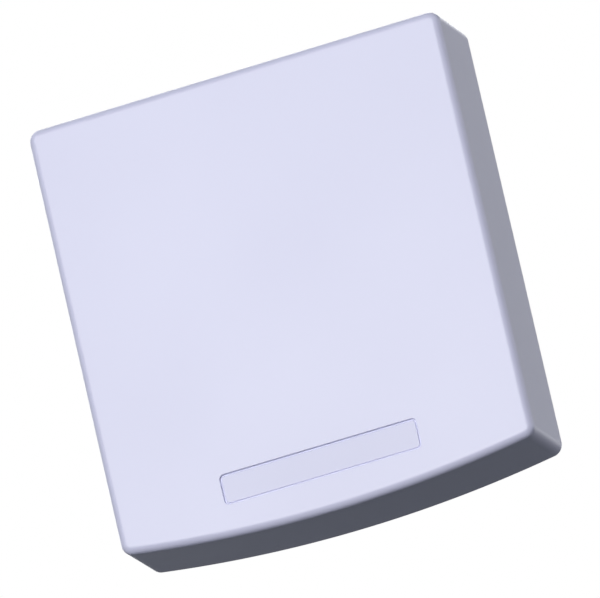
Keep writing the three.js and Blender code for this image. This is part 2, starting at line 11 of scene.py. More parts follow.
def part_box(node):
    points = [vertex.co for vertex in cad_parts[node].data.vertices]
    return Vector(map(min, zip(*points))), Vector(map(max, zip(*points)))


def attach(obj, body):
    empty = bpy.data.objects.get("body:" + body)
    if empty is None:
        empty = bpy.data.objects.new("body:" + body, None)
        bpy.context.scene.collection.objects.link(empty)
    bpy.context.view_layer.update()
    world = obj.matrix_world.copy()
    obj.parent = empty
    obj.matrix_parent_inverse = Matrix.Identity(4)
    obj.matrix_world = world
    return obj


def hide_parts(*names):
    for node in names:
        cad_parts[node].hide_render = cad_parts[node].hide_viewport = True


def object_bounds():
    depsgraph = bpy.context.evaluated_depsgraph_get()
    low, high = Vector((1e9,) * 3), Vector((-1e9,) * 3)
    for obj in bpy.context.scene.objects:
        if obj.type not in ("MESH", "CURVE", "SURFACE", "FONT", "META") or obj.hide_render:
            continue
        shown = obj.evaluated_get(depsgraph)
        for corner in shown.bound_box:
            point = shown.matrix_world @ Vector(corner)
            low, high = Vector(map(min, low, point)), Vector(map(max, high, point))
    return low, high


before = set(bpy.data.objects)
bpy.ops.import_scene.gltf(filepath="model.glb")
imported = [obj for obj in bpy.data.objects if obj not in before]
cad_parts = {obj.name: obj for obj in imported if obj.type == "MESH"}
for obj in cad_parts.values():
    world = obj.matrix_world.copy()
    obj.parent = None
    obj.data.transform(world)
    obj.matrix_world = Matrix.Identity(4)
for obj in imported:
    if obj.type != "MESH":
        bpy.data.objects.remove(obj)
cad_low, cad_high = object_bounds()

# ---- Camera ----
# A long lens from below the panel's right-hand side, rolled so that the panel leans to the left.
# Its picture plane passes through the upper left corner of the panel's flat front.
MM = 0.001
panel_low, panel_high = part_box("radome")
front_fillet = 3 * MM
camera_right = Vector((0.93163, 0.29214, -0.21616))
camera_up = Vector((0.27890, -0.19340, 0.94064))
camera_back = camera_right.cross(camera_up)
flat_corner = Vector((panel_low.x + front_fillet, panel_low.y, panel_high.z - front_fillet))
picture_width = 231.9 * MM
aim_right = 102.55 * MM
aim_down = 62.49 * MM
aim = flat_corner + camera_right * aim_right - camera_up * aim_down
camera_distance = 8.0

camera = bpy.data.objects.new("camera", bpy.data.cameras.new("camera"))
camera.data.sensor_width = 36.0
camera.data.lens = camera.data.sensor_width * camera_distance / picture_width
camera.data.clip_end = 2 * camera_distance
turn = Matrix((camera_right, camera_up, camera_back)).transposed().to_4x4()
camera.matrix_world = Matrix.Translation(aim + camera_back * camera_distance) @ turn
bpy.context.scene.collection.objects.link(camera)
bpy.context.scene.camera = camera


# ---- Shader arithmetic ----
# A socket that takes part in plain sums; node() adds any other node to the same tree, and blend()
# mixes two colours.
class Shade:
    def __init__(self, tree, socket=None):
        self.tree = tree
        self.socket = socket

    def node(self, kind, settings=None, sockets=None, output=0):
        made = self.tree.nodes.new("ShaderNode" + kind)
        for name, value in (settings or {}).items():
            if name != "stops":
                setattr(made, name, value)
                continue
            ramp = made.color_ramp
            while len(ramp.elements) < len(value):
                ramp.elements.new(1.0)
            for element, (place, tone) in zip(ramp.elements, value):
                element.position = place
                element.color = (*tone, 1.0)
        for key, value in (sockets or {}).items():
            if isinstance(value, Shade):
                self.tree.links.new(value.socket, made.inputs[key])
            else:
                made.inputs[key].default_value = value
        return Shade(self.tree, made.outputs[output])

    def blend(self, share, first, second):
        return self.node("Mix", {"data_type": "RGBA"}, {0: share, 6: first, 7: second}, 2)

    def sum(self, operation, first, second=0.0):
        return self.node("Math", {"operation": operation}, {0: first, 1: second})

    def __add__(self, other):
        return self.sum("ADD", self, other)

    __radd__ = __add__

    def __sub__(self, other):
        return self.sum("SUBTRACT", self, other)

    def __rsub__(self, other):
        return self.sum("SUBTRACT", other, self)

    def __mul__(self, other):
        return self.sum("MULTIPLY", self, other)

    __rmul__ = __mul__


# ---- Floor, light and backdrop ----
# A wide pale floor below the hanging antenna, clear from underneath, and a white surround that turns
# grey in reflections. Two broad lights before the panel, one behind its right side, two at its back.
floor_drop = 70 * MM
floor_half = 6.0
world = bpy.data.worlds.new("surround")
bpy.context.scene.world = world
world.use_nodes = True
sky = Shade(world.node_tree)
seen = sky.node("LightPath", output="Is Camera Ray")
backdrop = world.node_tree.nodes["Background"]
mirrored = sky.node("LightPath", output="Is Glossy Ray")
unseen = sky.blend(mirrored, (0.036, 0.042, 0.058, 1.0), (0.34, 0.35, 0.37, 1.0))
surround = sky.blend(seen, unseen, (1.0, 1.0, 1.0, 1.0))
world.node_tree.links.new(surround.socket, backdrop.inputs["Color"])

floor_z = cad_low.z - floor_drop
floor = bpy.data.objects.new("floor", bpy.data.meshes.new("floor"))
sides = ((-1, -1), (1, -1), (1, 1), (-1, 1))
floor_corners = [(x * floor_half, y * floor_half, floor_z) for x, y in sides]
floor.data.from_pydata(floor_corners, [], [(0, 1, 2, 3)])
bpy.context.scene.collection.objects.link(floor)
floor_finish = bpy.data.materials.new("floor")
floor_finish.use_nodes = True
floor.data.materials.append(floor_finish)
paving = Shade(floor_finish.node_tree)
looked_at = paving.node("LightPath", output="Is Camera Ray")
pale = paving.blend(looked_at, (0.115, 0.127, 0.147, 1.0), (0.93, 0.93, 0.92, 1.0))
matt = paving.node("BsdfDiffuse", None, {"Color": pale})
even = paving.node("Emission", None, {"Color": (0.84, 0.84, 0.84, 1.0)})
reflected = paving.node("LightPath", output="Is Glossy Ray")
share = 0.6 * looked_at + 0.28 * reflected
surface = paving.node("MixShader", None, {0: share, 1: matt, 2: even})
underneath = paving.node("NewGeometry", output="Backfacing")
clear = paving.node("BsdfTransparent")
both = paving.node("MixShader", None, {0: underneath, 1: surface, 2: clear})
floor_end = floor_finish.node_tree.nodes["Material Output"]
floor_finish.node_tree.links.new(both.socket, floor_end.inputs["Surface"])

panel_middle = (panel_low + panel_high) / 2
lamps = {
    "key": ((-0.1, -2.3, -0.1), 1.0, 39.5),
    "sheen": ((-0.57, -2.3, 0.64), 0.9, 19.5),
    "side": ((1.75, 1.15, 0.35), 1.6, 14.5),
    "back": ((-0.8, 2.3, 1.5), 3.0, 56.0),
    "low_back": ((0.3, 2.6, -0.5), 2.0, 14.0),
}
for name, (place, size, watts) in lamps.items():
    lamp = bpy.data.objects.new(name, bpy.data.lights.new(name, "AREA"))
    lamp.data.size = size
    lamp.data.energy = watts
    lamp.location = panel_middle + Vector(place)
    lamp.rotation_euler = (-Vector(place)).to_track_quat("-Z", "Y").to_euler()
    bpy.context.scene.collection.objects.link(lamp)
bpy.context.scene.view_settings.view_transform = "Standard"


# ---- Radome ----
# One moulding in weatherproof plastic: a flat front, rounded edges, three straight sides and a bowed
# bottom. Open at the back, with a rebate for the plate and eight bosses for its screws.
QUARTER = math.pi / 2


def arc(centre_x, centre_z, radius, start, end, steps):
    turns = [start + (end - start) * i / steps for i in range(steps + 1)]
    return [(centre_x + radius * math.cos(t), centre_z + radius * math.sin(t)) for t in turns]


def disc(centre_x, centre_z, radius, steps=72):
    return arc(centre_x, centre_z, radius, 0, 4 * QUARTER, steps)[:-1]


half_width = (panel_high.x - panel_low.x) / 2
half_height = (panel_high.z - panel_low.z) / 2
bottom_bow = 6.75 * MM
corner_radius = 4.7 * MM
bow_radius = (half_width**2 + bottom_bow**2) / (2 * bottom_bow)
bow_centre = bow_radius - half_height
corner_steps = 12
bow_steps = 60


def panel_outline(inset, radius):
    """The panel's edge as x, z points, moved inwards by inset, with corners of a given radius."""
    x = half_width - inset - radius
    high = half_height - inset - radius
    low = bow_centre - math.sqrt((bow_radius - inset - radius) ** 2 - x**2)
    lean = math.atan2(x, bow_centre - low)
    bow = arc(0, bow_centre, bow_radius - inset, 3 * QUARTER - lean, 3 * QUARTER + lean, bow_steps)
    return [
        *arc(x, high, radius, 0, QUARTER, corner_steps),
        *arc(-x, high, radius, QUARTER, 2 * QUARTER, corner_steps),
        *arc(-x, low, radius, 2 * QUARTER, 3 * QUARTER - lean, corner_steps),
        *bow[1:-1],
        *arc(x, low, radius, 3 * QUARTER + lean, 4 * QUARTER, corner_steps),
    ]


badge_z = panel_low.z + 20 * MM
badge_half_width = 40.5 * MM
badge_half_height = 6.1 * MM
badge_corner = 2 * MM


def badge_outline(inset):
    """The badge sink's edge, with as many points as the panel's edge and in the same order."""
    radius = badge_corner - inset
    x = badge_half_width - badge_corner
    z = badge_half_height - badge_corner
    low = badge_z - badge_half_height + inset
    low_edge = [(-x + 2 * x * i / bow_steps, low) for i in range(1, bow_steps)]
    return [
        *arc(x, badge_z + z, radius, 0, QUARTER, corner_steps),
        *arc(-x, badge_z + z, radius, QUARTER, 2 * QUARTER, corner_steps),
        *arc(-x, badge_z - z, radius, 2 * QUARTER, 3 * QUARTER, corner_steps),
        *low_edge,
        *arc(x, badge_z - z, radius, 3 * QUARTER, 4 * QUARTER, corner_steps),
    ]


sharp_angle = math.radians(35)


def skin(name, rings, closed=False):
    """A mesh through rings of equally many points, capped at both ends or joined end to end."""
    count = len(rings[0])
    faces = []
    for k in range(len(rings) if closed else len(rings) - 1):
        near = k * count
        far = (k + 1) % len(rings) * count
        for i in range(count):
            j = (i + 1) % count
            faces.append((near + i, near + j, far + j, far + i))
    if not closed:
        faces.append(tuple(range(count))[::-1])
        faces.append(tuple((len(rings) - 1) * count + i for i in range(count)))
    mesh = bpy.data.meshes.new(name)
    mesh.from_pydata([point for ring in rings for point in ring], [], faces)
    return solid_object(name, mesh)


def solid_object(name, mesh):
    """An object from a closed mesh: faces outwards, smooth but for its sharp edges."""
    work = bmesh.new()
    work.from_mesh(mesh)
    bmesh.ops.recalc_face_normals(work, faces=work.faces)
    work.to_mesh(mesh)
    work.free()
    mesh.shade_smooth()
    mesh.set_sharp_from_angle(angle=sharp_angle)
    made = bpy.data.objects.new(name, mesh)
    bpy.context.scene.collection.objects.link(made)
    made.modifiers.new("even_shading", "WEIGHTED_NORMAL").keep_sharp = True
    return made


def on_panel(outline, depth):
    return [(x, panel_low.y + depth, z) for x, z in outline]


def panel_rings(places):
    """The panel's edge at each place, which is an inset and a depth."""
    rings = []
    for inset, depth in places:
        rings.append(on_panel(panel_outline(inset, max(corner_radius - inset, least_corner)), depth))
    return rings


def round_over(start, end, steps, bulge):
    """Places along a quarter round from start to end, each an inset and a depth. bulge is 0 where
    the inset turns first and 1 where the depth does."""
    places = []
    for i in range(steps + 1):
        shares = (math.sin(i / steps * QUARTER), 1 - math.cos(i / steps * QUARTER))
        places.append(tuple(start[k] + (end[k] - start[k]) * shares[k != bulge] for k in (0, 1)))
    return places


skirt = panel_high.y - panel_low.y
front_wall = 3 * MM
side_wall = 4 * MM
rim_wall = 2 * MM
ledge = 33.3 * MM
rim_round = 0.5 * MM
inner_round = 1.5 * MM
least_corner = 0.8 * MM
badge_sink = 0.5 * MM
badge_round = 0.2 * MM
skin_places = [
    *round_over((side_wall + inner_round, front_wall), (side_wall, front_wall + inner_round), 4, 0),
    (side_wall, ledge), (rim_wall, ledge),
    *round_over((rim_wall, skirt - rim_round), (rim_wall - rim_round, skirt), 3, 1),
    *round_over((rim_round, skirt), (0, skirt - rim_round), 3, 0),
    *round_over((0, front_fillet), (front_fillet, 0), 12, 1),
    (front_fillet + rim_round, 0),
]
skin_rings = panel_rings(skin_places)
groove_floor = 0.95 * MM
groove_width = 0.7 * MM
groove_slope = 0.15 * MM
badge_places = [
    *round_over((-badge_round, 0), (0, badge_round), 3, 0),
    (0, groove_floor - groove_slope), (groove_slope, groove_floor),
    (groove_width - groove_slope, groove_floor), (groove_width, groove_floor - groove_slope),
    (groove_width, badge_sink + groove_slope), (groove_width + groove_slope, badge_sink),
]
skin_rings += [on_panel(badge_outline(inset), depth) for inset, depth in badge_places]
radome = skin("radome_moulding", skin_rings)

boss_inset = 10.5 * MM
boss_radius = 5 * MM
pedestal_radius = 4 * MM
pilot_radius = 2.05 * MM
pilot_start = 23.7 * MM
pedestal_top = 35.2 * MM
sunk = 0.5 * MM
screw_x = half_width - boss_inset
screw_top = half_height - boss_inset
low_side = bow_centre - math.sqrt((bow_radius - boss_inset) ** 2 - screw_x**2)
low_middle = bow_centre - (bow_radius - boss_inset)
screw_places = [
    (-screw_x, screw_top, -1, 1), (0, screw_top, 0, 1), (screw_x, screw_top, 1, 1),
    (-screw_x, 0, -1, 0), (screw_x, 0, 1, 0), (-screw_x, low_side, -1, -1),
    (0, low_middle, 0, -1), (screw_x, low_side, 1, -1),
]


def column(x, z, radius, start, end, steps=32):
    outline = disc(x, z, radius, steps)
    return skin("column", [on_panel(outline, start), on_panel(outline, end)])


def boss_outline(x, z, out_x, out_z):
    """A round boss drawn out to the one or two walls it stands by."""
    reach = boss_inset - side_wall + sunk
    facing = math.atan2(out_z, out_x)
    if out_x and out_z:
        facing -= QUARTER / 2
        inner = arc(0, 0, boss_radius, 2 * QUARTER, 3 * QUARTER, 8)
        outer = [(reach, -boss_radius), (reach, reach), (-boss_radius, reach)]
    else:
        inner = arc(0, 0, boss_radius, QUARTER, 3 * QUARTER, 16)
        outer = [(reach, -boss_radius), (reach, boss_radius)]
    c = math.cos(facing)
    s = math.sin(facing)
    return [(x + c * a - s * b, z + s * a + c * b) for a, b in (*inner, *outer)]


def boolean(body, tools, operation):
    """Joins or cuts a piece with tools and throws the tools away."""
    for tool in tools:
        step = body.modifiers.new("step", "BOOLEAN")
        step.operation = operation
        step.solver = "EXACT"
        step.object = tool
        with bpy.context.temp_override(object=body, active_object=body, selected_objects=[body]):
            bpy.ops.object.modifier_move_to_index(modifier=step.name, index=0)
            bpy.ops.object.modifier_apply(modifier=step.name)
        bpy.data.objects.remove(tool)
    body.data.set_sharp_from_angle(angle=sharp_angle)


for x, z, out_x, out_z in screw_places:
    outline = boss_outline(x, z, out_x, out_z)
    boss = skin("boss", [on_panel(outline, front_wall - sunk), on_panel(outline, ledge)])
    pedestal = column(x, z, pedestal_radius, ledge - sunk, pedestal_top)
    boolean(radome, [boss, pedestal], "UNION")
    boolean(radome, [column(x, z, pilot_radius, pilot_start, skirt, 24)], "DIFFERENCE")


def finish(name, color, roughness, metallic=0.0, **constants):
    """A new material: its tree as a Shade, its shader node and itself."""
    made = bpy.data.materials.new(name)
    made.use_nodes = True
    shader = made.node_tree.nodes["Principled BSDF"]
    shader.inputs["Base Color"].default_value = (*color, 1.0)
    shader.inputs["Roughness"].default_value = roughness
    shader.inputs["Metallic"].default_value = metallic
    for key, value in constants.items():
        shader.inputs[key.replace("_", " ")].default_value = value
    return made, Shade(made.node_tree), shader


def feed(shade, shader, socket):
    shade.tree.links.new(shade.socket, shader.inputs[socket])


def coat(shade, shader, stops, share, roughness, relief):
    """Feeds a finish its colour ramp, its roughness and its relief: a strength, depth and height."""
    feed(shade.node("ValToRGB", {"stops": stops}, {0: share}), shader, "Base Color")
    feed(roughness, shader, "Roughness")
    bump = dict(zip(("Strength", "Distance", "Height"), relief))
    feed(shade.node("Bump", None, bump), shader, "Normal")


# The plastic: a fine spark-eroded grain and faint clouding from moulding. The badge sink has no
# grain, but is a little duller.
radome_plastic, mould, shader = finish("radome_plastic", (0.75, 0.758, 0.962), 0.35, IOR=1.49)
place = mould.node("TexCoord", output="Object")
cloud = mould.node("TexNoise", None, {"Vector": place, "Scale": 14.0, "Detail": 3.0})
grain = mould.node("TexNoise", None, {"Vector": place, "Scale": 2600.0, "Detail": 2.0})
x, y, z = (mould.node("SeparateXYZ", None, {0: place}, output=axis) for axis in "XYZ")
in_badge = mould.sum("LESS_THAN", mould.sum("ABSOLUTE", x), badge_half_width) * mould.sum(
    "LESS_THAN", mould.sum("ABSOLUTE", z - badge_z), badge_half_height
)
in_sink = in_badge * mould.sum("LESS_THAN", y, panel_low.y + 1 * MM)
tints = [(0.3, (0.744, 0.752, 0.956)), (0.7, (0.758, 0.765, 0.968))]
roughness = 0.28 + 0.10 * cloud + 0.06 * grain + 0.05 * in_sink
coat(mould, shader, tints, cloud, roughness, (0.12, 0.00005, grain * (1.0 - in_sink)))
radome.data.materials.append(radome_plastic)
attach(radome, "panel")
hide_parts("radome")

# ---- Rim gasket ----
# A moulded rubber ring that lies on the radome's ledge and is squeezed by the back plate. Its long
# edges are rounded, and a fine bead runs along the middle of its outer face.
def speckled(name, tones, gloss, scales, depth, metallic=0.0, stretch=(1, 1, 1), **more):
    """A finish whose colour drifts at one scale and whose surface is grained at a finer one."""
    roughness, spread = gloss
    cloud, grain = scales
    made, shade, shader = finish(name, tones[1], roughness, metallic, **more)
    place = shade.node("TexCoord", output="Object")
    drawn = shade.node("VectorMath", {"operation": "MULTIPLY"}, {0: place, 1: stretch}, 0)
    drift = shade.node("TexNoise", None, {"Vector": drawn, "Scale": cloud, "Detail": 4.0})
    fine = shade.node("TexNoise", None, {"Vector": drawn, "Scale": grain, "Detail": 2.0})
    mottle = 0.7 * drift + 0.3 * fine
    stops = list(zip((0.36, 0.64), tones))
    varied = roughness + spread * (mottle - 0.5)
    coat(shade, shader, stops, mottle, varied, (0.35, depth, 0.3 * drift + fine))
    return made


def dress(piece, material, body, node):
    """Gives a finished piece its material and the body it rides on, and hides the CAD node it stands for."""
    piece.data.materials.clear()
    piece.data.materials.append(material)
    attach(piece, body)
    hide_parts(node)


panel_front = panel_low.y
fit_gap = 0.3 * MM
plate_edge = rim_wall + fit_gap
gasket_near, gasket_far = (corner.y - panel_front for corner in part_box("rim_gasket"))
gasket_width = 3.6 * MM
gasket_round = 0.35 * MM
bead_half = 0.5 * MM
bead_height = 0.25 * MM
gasket_middle = plate_edge + gasket_width / 2
gasket_end = plate_edge + gasket_width
gasket_places = [
    *round_over((plate_edge + gasket_round, gasket_near), (plate_edge, gasket_near + gasket_round), 3, 0),
    *round_over((plate_edge, gasket_far - gasket_round), (plate_edge + gasket_round, gasket_far), 3, 1),
    (gasket_middle - bead_half, gasket_far), (gasket_middle, gasket_far + bead_height),
    (gasket_middle + bead_half, gasket_far),
    (gasket_end - gasket_round, gasket_far), (gasket_end, gasket_far - gasket_round),
    (gasket_end, gasket_near + gasket_round), (gasket_end - gasket_round, gasket_near),
]
gasket = skin("rim_gasket_ring", panel_rings(gasket_places), closed=True)
gasket_rubber = speckled(
    "gasket_rubber", ((0.010, 0.010, 0.011), (0.019, 0.019, 0.021)),
    (0.72, 0.2), (90.0, 2200.0), 0.00004
)
dress(gasket, gasket_rubber, "panel", "rim_gasket")

# ---- Back plate ----
# Sheet aluminium, punched and deburred, which closes the radome and is the antenna's reflector.
# It lies just inside the radome's rim, with holes for the screws, studs, jack and vent.
plate_near, plate_far = (corner.y - panel_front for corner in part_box("back_plate"))
deburr = 0.25 * MM
plate_places = [
    *round_over((plate_edge + deburr, plate_near), (plate_edge, plate_near + deburr), 3, 0),
    *round_over((plate_edge, plate_far - deburr), (plate_edge + deburr, plate_far), 3, 1),
]


def middle(node):
    low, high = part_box(node)
    return (low + high) / 2


plate = skin("back_plate_sheet", panel_rings(plate_places))
screw_hole = pilot_radius
stud_radius = 3 * MM
stud_places = [middle(f"bracket_stud_{number}").xz for number in range(1, 5)]
jack_x, jack_z = middle("connector_seal").xz
vent_x, vent_z = middle("vent_plug").xz
neck_radius = 7 * MM
vent_neck = 3 * MM
holes = [(x, z, screw_hole) for x, z, _, _ in screw_places]
holes += [(x, z, stud_radius + fit_gap) for x, z in stud_places]
holes += [(jack_x, jack_z, neck_radius + fit_gap), (vent_x, vent_z, vent_neck + fit_gap)]
boolean(plate, [column(x, z, radius, 0, skirt, 48) for x, z, radius in holes], "DIFFERENCE")
plate_aluminium = speckled(
    "plate_aluminium", ((0.70, 0.71, 0.72), (0.80, 0.81, 0.82)),
    (0.47, 0.25), (40.0, 900.0), 0.00002, 0.95, (0.06, 1.0, 1.0)
)
dress(plate, plate_aluminium, "panel", "back_plate")


# ---- Cover screws ----
# Eight stainless thread-forming screws with pan heads and cross recesses, driven through the plate
# into the radome's bosses.
def turned(profile, steps=48):
    """Rings around the Z axis through a profile of radii and heights. A radius may also be a
    function of the angle, for flats."""
    turns = [4 * QUARTER * i / steps for i in range(steps)]
    rings = []
    for radius, height in profile:
        reach = radius if callable(radius) else lambda t, r=radius: r
        rings.append([(reach(t) * math.cos(t), reach(t) * math.sin(t), height) for t in turns])
    return rings


def mirrored(half, length):
    """A closed profile that is alike at both ends, from its lower half."""
    return [*half, *((radius, length - height) for radius, height in reversed(half))]


def ring(name, profile, steps=48):
    """A turned piece with a hole through it, from a profile that closes on itself."""
    return skin(name, turned(profile, steps), closed=True)


def core(radius, pitch):
    """The radius a thread goes down to: the depth of a metric one, as a share of its pitch."""
    return radius - 0.6134 * pitch


def threaded(name, before, thread, after, steps=48, closed=False):
    """A turned piece with a screw thread between two profiles. The thread is one helical ridge from
    start to end, with a flat root and a flat crest, and it runs in and out over one turn."""
    start, end, radius, pitch = thread
    before = turned(before, steps)
    after = turned(after, steps)
    turns = int((end - start) / pitch - 1.0)
    count = turns * steps
    margin = (end - start - (turns + 0.75) * pitch) / 2
    root = radius - 0.56 * pitch
    run_in = 0.08
    shape = ((0.0, root), (0.3125, radius), (0.4375, radius), (0.75, root))
    points = [point for ring in before for point in ring]
    faces = []

    def join(first, second, length):
        for i in range(length):
            j = (i + 1) % length
            faces.append((first + i, first + j, second + j, second + i))

    for k in range(len(before) - 1):
        join(k * steps, (k + 1) * steps, steps)
    low = (len(before) - 1) * steps
    helix = len(points)
    for i in range(count + 1):
        angle = 4 * QUARTER * i / steps
        rise = start + margin + i / steps * pitch
        fade = min(1.0, run_in + i / steps, run_in + (count - i) / steps)
        for offset, reach in shape:
            r = root + (reach - root) * fade
            points.append((r * math.cos(angle), r * math.sin(angle), rise + offset * pitch))
    high = len(points)
    points += [point for ring in after for point in ring]
    for i in range(count):
        for k in range(3):
            a = helix + 4 * i + k
            faces.append((a, a + 4, a + 5, a + 1))
        if i < count - steps:
            a = helix + 4 * i + 3
            b = helix + 4 * (i + steps)
            faces.append((a, a + 4, b + 4, b))
    last = helix + 4 * (count - steps)
    for i in range(steps):
        j = (i + 1) % steps
        faces.append((low + i, low + j, helix + 4 * (i + 1), helix + 4 * i))
        faces.append((last + 4 * i + 3, last + 4 * (i + 1) + 3, high + j, high + i))
    faces.append((low, helix, helix + 1, helix + 2, helix + 3, helix + 4 * steps))
    tip = helix + 4 * count
    faces.append((last + 3, tip, tip + 1, tip + 2, tip + 3, high))
    for k in range(len(after) - 1):
        join(high + k * steps, high + (k + 1) * steps, steps)
    final = high + (len(after) - 1) * steps
    if closed:
        join(final, 0, steps)
    else:
        faces.append(tuple(range(steps))[::-1])
        faces.append(tuple(final + i for i in range(steps)))
    mesh = bpy.data.meshes.new(name)
    mesh.from_pydata(points, [], faces)
    return solid_object(name, mesh)


def lay(piece, base, towards, spin=0.0):
    """Moves a piece made around the Z axis to its place, with +Z along a direction."""
    turn = Vector(towards).to_track_quat("Z", "Y").to_matrix().to_4x4()
    piece.data.transform(Matrix.Translation(base) @ turn @ Matrix.Rotation(spin, 4, "Z"))
    piece.data.update()


def span(node):
    """A CAD node's length along the panel's depth."""
    low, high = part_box(node)
    return high.y - low.y


def seat(piece, x, z, material, node, spin=0.0, rise=0.0):
    """Lays a turned piece along the panel's depth, from its node's near end, and dresses it."""
    lay(piece, (x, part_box(node)[0].y + rise, z), (0, 1, 0), spin)
    dress(piece, material, "panel", node)


def dome(radius, start, end, steps=8, flat=0.0):
    """Profile places over a rounded top, from the rim at start to a flat of some radius at end."""
    places = []
    for i in range(steps + 1):
        t = i / steps * QUARTER
        places.append((flat + (radius - flat) * math.cos(t), start + (end - start) * math.sin(t)))
    return places


def driven_by_cross(piece, reach, half, top, bottom):
    """Cuts a cross recess, tapering towards its bottom, into a screw head."""

    def plus(arm, side, height):
        quarter = [(arm, -side), (arm, side), (side, side)]
        turns = [(1, 0), (0, 1), (-1, 0), (0, -1)]
        return [(c * x - s * y, s * x + c * y, height) for c, s in turns for x, y in quarter]

    tool = skin("cross", [plus(reach * 1.2, half, top), plus(reach * 0.45, half * 0.6, bottom)])
    boolean(piece, [tool], "DIFFERENCE")


stainless = speckled(
    "stainless", ((0.50, 0.50, 0.50), (0.63, 0.62, 0.61)),
    (0.27, 0.3), (260.0, 2600.0), 0.00003, 1.0
)
cover_radius = 1.75 * MM
cover_length = 14 * MM
cover_head = 3.5 * MM
cover_head_height = 2.4 * MM
cover_pitch = 1.3 * MM
cover_core = core(cover_radius, cover_pitch)
head_edge = 0.6 * MM
cover_tip = [(0.3 * MM, -cover_length), (cover_core, -cover_length + 1.2 * MM)]
cover_thread = (-cover_length + 1.2 * MM, -1.5 * MM, cover_radius, cover_pitch)
cover_top = [
    (cover_core, -1.4 * MM), (cover_radius, -0.5 * MM), (cover_radius, 0),
    (cover_head - 0.2 * MM, 0), (cover_head, 0.2 * MM), (cover_head, head_edge),
    *dome(cover_head, head_edge, cover_head_height, 8, 0.9 * MM)[1:],
]
for number, (x, z, _, _) in enumerate(screw_places, 1):
    screw = threaded(f"cover_screw_head_{number}", cover_tip, cover_thread, cover_top, 36)
    driven_by_cross(screw, 1.6 * MM, 0.42 * MM, cover_head_height + 0.2 * MM, 0.9 * MM)
    node = f"cover_screw_{number}"
    seat(screw, x, z, stainless, node, 0.7 * number, span(node) - cover_head_height)

# ---- Radiators ----
# Tinned brass patches and their feed strip, cut from one sheet, on four hexagonal stainless pillars
# that stand on the back plate and hold each patch at its middle.
tinned_brass = speckled(
    "tinned_brass", ((0.60, 0.59, 0.55), (0.72, 0.71, 0.66)),
    (0.34, 0.4), (60.0, 1400.0), 0.00003, 1.0, (1.0, 1.0, 0.2)
)
driven_low, driven_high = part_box("driven_plate")
patch_pitch = 76 * MM
patch_centre = patch_pitch / 2
driven_half = 26 * MM
strip_half = 1.5 * MM
patch_hole = 1.8 * MM
tin_round = 0.12 * MM


def rounded(half_x, half_z, radius, centre_x=0.0, centre_z=0.0, steps=6):
    """A rectangle with rounded corners, as x, z points."""
    x, z = half_x - radius, half_z - radius
    corners = ((x, z, 0), (-x, z, 1), (-x, -z, 2), (x, -z, 3))
    return [
        point
        for along, up, k in corners
        for point in arc(centre_x + along, centre_z + up, radius, k * QUARTER, (k + 1) * QUARTER, steps)
    ]


def oblong(left, right, low, high):
    return [(left, low), (right, low), (right, high), (left, high)]


def extruded(name, outline, along, start, end):
    """A prism: an outline in y, z or x, z or x, y, drawn out along the axis that is left."""

    def at(u, v, w):
        return {"x": (w, u, v), "y": (u, w, v), "z": (u, v, w)}[along]

    return skin(name, [[at(u, v, w) for u, v in outline] for w in (start, end)])


def cut(piece, outlines, along, start, end):
    """Cuts prisms of these outlines out of a piece."""
    tools = [extruded("tool", outline, along, start, end) for outline in outlines]
    boolean(piece, tools, "DIFFERENCE")


def eased(piece, width, segments=2):
    """Cleans a cut piece's faces and rounds its edges a little, as deburring does."""
    work = bmesh.new()
    work.from_mesh(piece.data)
    bmesh.ops.remove_doubles(work, verts=work.verts, dist=1e-6)
    bmesh.ops.dissolve_limit(work, angle_limit=math.radians(1), verts=work.verts, edges=work.edges)
    work.to_mesh(piece.data)
    work.free()
    piece.data.shade_smooth()
    edge = piece.modifiers.new("edge", "BEVEL")
    edge.width = width
    edge.segments = segments
    edge.limit_method = "ANGLE"
    edge.angle_limit = math.radians(40)
    piece.modifiers.move(len(piece.modifiers) - 1, 0)


patch_places = [(x * patch_centre, z * patch_centre) for x, z in ((-1, 1), (1, 1), (-1, -1), (1, -1))]
driven_span = (driven_low.y, driven_high.y)
crossbar = rounded(patch_centre + strip_half, strip_half, strip_half / 2)
driven = extruded("driven_patches", crossbar, "y", *driven_span)
jack_drop = -jack_z
pad_radius = 3.5 * MM
strip_end = strip_half / 2
limbs = [rounded(driven_half, driven_half, 1 * MM, x, z) for x, z in patch_places]
limbs += [rounded(strip_half, patch_centre, strip_end, x, 0) for x in (-patch_centre, patch_centre)]
limbs.append(rounded(strip_half, jack_drop / 2, strip_end, jack_x, -jack_drop / 2))
limbs.append(disc(jack_x, jack_z, pad_radius, 32))
boolean(driven, [extruded("limb", limb, "y", *driven_span) for limb in limbs], "UNION")
around = 10 * MM
punches = [disc(x, z, patch_hole, 24) for x, z in patch_places]
cut(driven, punches, "y", driven_low.y - around, driven_high.y + around)
eased(driven, tin_round, 1)
dress(driven, tinned_brass, "panel", "driven_plate")


def flats(across):
    """The radius of a hexagon at an angle, from its size across flats."""
    third = 4 * QUARTER / 6

    def reach(t):
        return across / 2 / math.cos((t + third / 2) % third - third / 2)

    return reach


def cone(shape, limit):
    """A shape's radius, kept inside a circle: the rounded-off corners of a chamfered hexagon."""
    return lambda t: min(shape(t), limit)


def hexagon_ends(across, start, end, steps=5, flat=0.94):
    """Profile places of a chamfered hexagon, from its middle's start to its flat end."""
    shape = flats(across)
    rim = across / 2 * flat
    corner = across / math.sqrt(3)
    drop = (corner - rim) * math.tan(math.radians(30))
    way = 1 if end > start else -1
    places = [(shape, start)]
    for k in range(steps + 1):
        share = k / steps
        places.append((cone(shape, corner + (rim - corner) * share), end - way * drop * (1 - share)))
    return places


